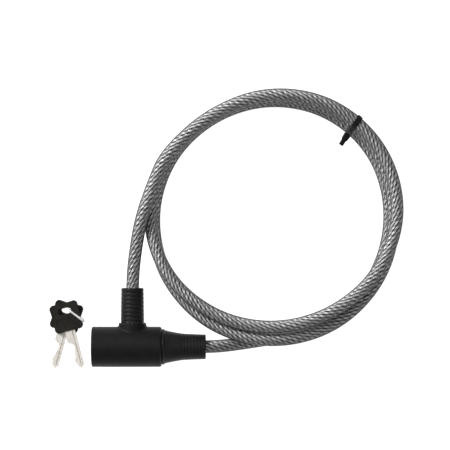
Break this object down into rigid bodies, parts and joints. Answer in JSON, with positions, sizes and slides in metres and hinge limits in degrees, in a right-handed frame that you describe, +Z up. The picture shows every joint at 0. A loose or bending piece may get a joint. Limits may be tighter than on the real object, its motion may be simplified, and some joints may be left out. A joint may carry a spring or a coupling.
{
  "type": "keyed cable lock",
  "caption": "Black barrel lock head with a clear-coated steel cable in a tied coil: one end fixed in a tapered boot, the other a push-in plug, with keys on a ring beside it.",
  "frame": {"origin": "bottom centre of the bounding box of the lock head and the keys together, on the table they lie on", "axes": "+X along the barrel head from its keyway end to its cable end, +Y along the plug as it is pulled out, +Z up from the table"},
  "size_m": [0.2763, 0.219, 0.0326],
  "materials": {
    "cover_plastic": "matt moulded",
    "boot_rubber": "satin",
    "tie_plastic": "satin",
    "key_plastic": "satin",
    "clear_vinyl": "clear glossy",
    "cable_steel": "bright stranded",
    "plug_steel": "turned",
    "pin_steel": "ground",
    "die_cast": "as cast",
    "brass": "turned",
    "core_nickel": "nickel plated",
    "ferrule_alloy": "crimped",
    "key_nickel": "pale nickel, worn",
    "ring_chrome": "bright"
  },
  "bodies": {
    "lock_head": {"body_cover": "cover_plastic", "lock_housing": "die_cast", "cylinder_shell": "brass", "cylinder_pin": "pin_steel", "cable_ferrule": "ferrule_alloy", "ferrule_screw": "pin_steel", "tapered_boot": "boot_rubber", "cable_core": "cable_steel", "cable_jacket": "clear_vinyl", "twist_tie": "tie_plastic"},
    "cable_plug": {"plug_pin": "plug_steel", "plug_sleeve": "ferrule_alloy", "plug_boot": "boot_rubber"},
    "lock_core": {"cylinder_core": "core_nickel", "core_clip": "pin_steel"},
    "tumblers": {"wafer_1": "brass", "wafer_2": "brass", "wafer_3": "brass", "wafer_4": "brass", "wafer_5": "brass"},
    "bolt": {"locking_plate": "plug_steel"},
    "ring": {"key_ring": "ring_chrome"},
    "key_a": {"key_a_blade": "key_nickel", "key_a_head": "key_plastic"},
    "key_b": {"key_b_blade": "key_nickel", "key_b_head": "key_plastic"}
  },
  "joints": [
    {"name": "plug_slide", "type": "slide", "parent": "lock_head", "child": "cable_plug", "axis": [0, 1, 0], "range_m": [0, 0.026], "deforming": ["cable_core", "cable_jacket"]},
    {"name": "core_turn", "type": "hinge", "parent": "lock_head", "child": "lock_core", "pos_m": [-0.0171, -0.0098, 0.0157], "axis": [1, 0, 0], "range_deg": [0, 90]},
    {"name": "plate_slide", "type": "slide", "parent": "lock_head", "child": "bolt", "axis": [0, 0, 1], "range_m": [0, 0.00215]},
    {"name": "wafer_slide", "type": "slide", "parent": "lock_core", "child": "tumblers", "axis": [0, 0, 1], "range_m": [0, 0.0012]},
    {"name": "keys_lift", "type": "slide", "parent": "lock_head", "child": "ring", "axis": [0, 0, 1], "range_m": [0, 0.06]},
    {"name": "key_a_swing", "type": "hinge", "parent": "ring", "child": "key_a", "pos_m": [-0.0459, 0.0183, 0.008], "axis": [0, -0.0593, 0.9982], "range_deg": [-32, 0]},
    {"name": "key_b_swing", "type": "hinge", "parent": "ring", "child": "key_b", "pos_m": [-0.0459, 0.0183, 0.003], "axis": [0, -0.0593, 0.9982], "range_deg": [-25, 12]}
  ],
  "couplings": [
    {"joint": "plate_slide", "follows": "core_turn", "m_per_rad": 0.00135}
  ]
}
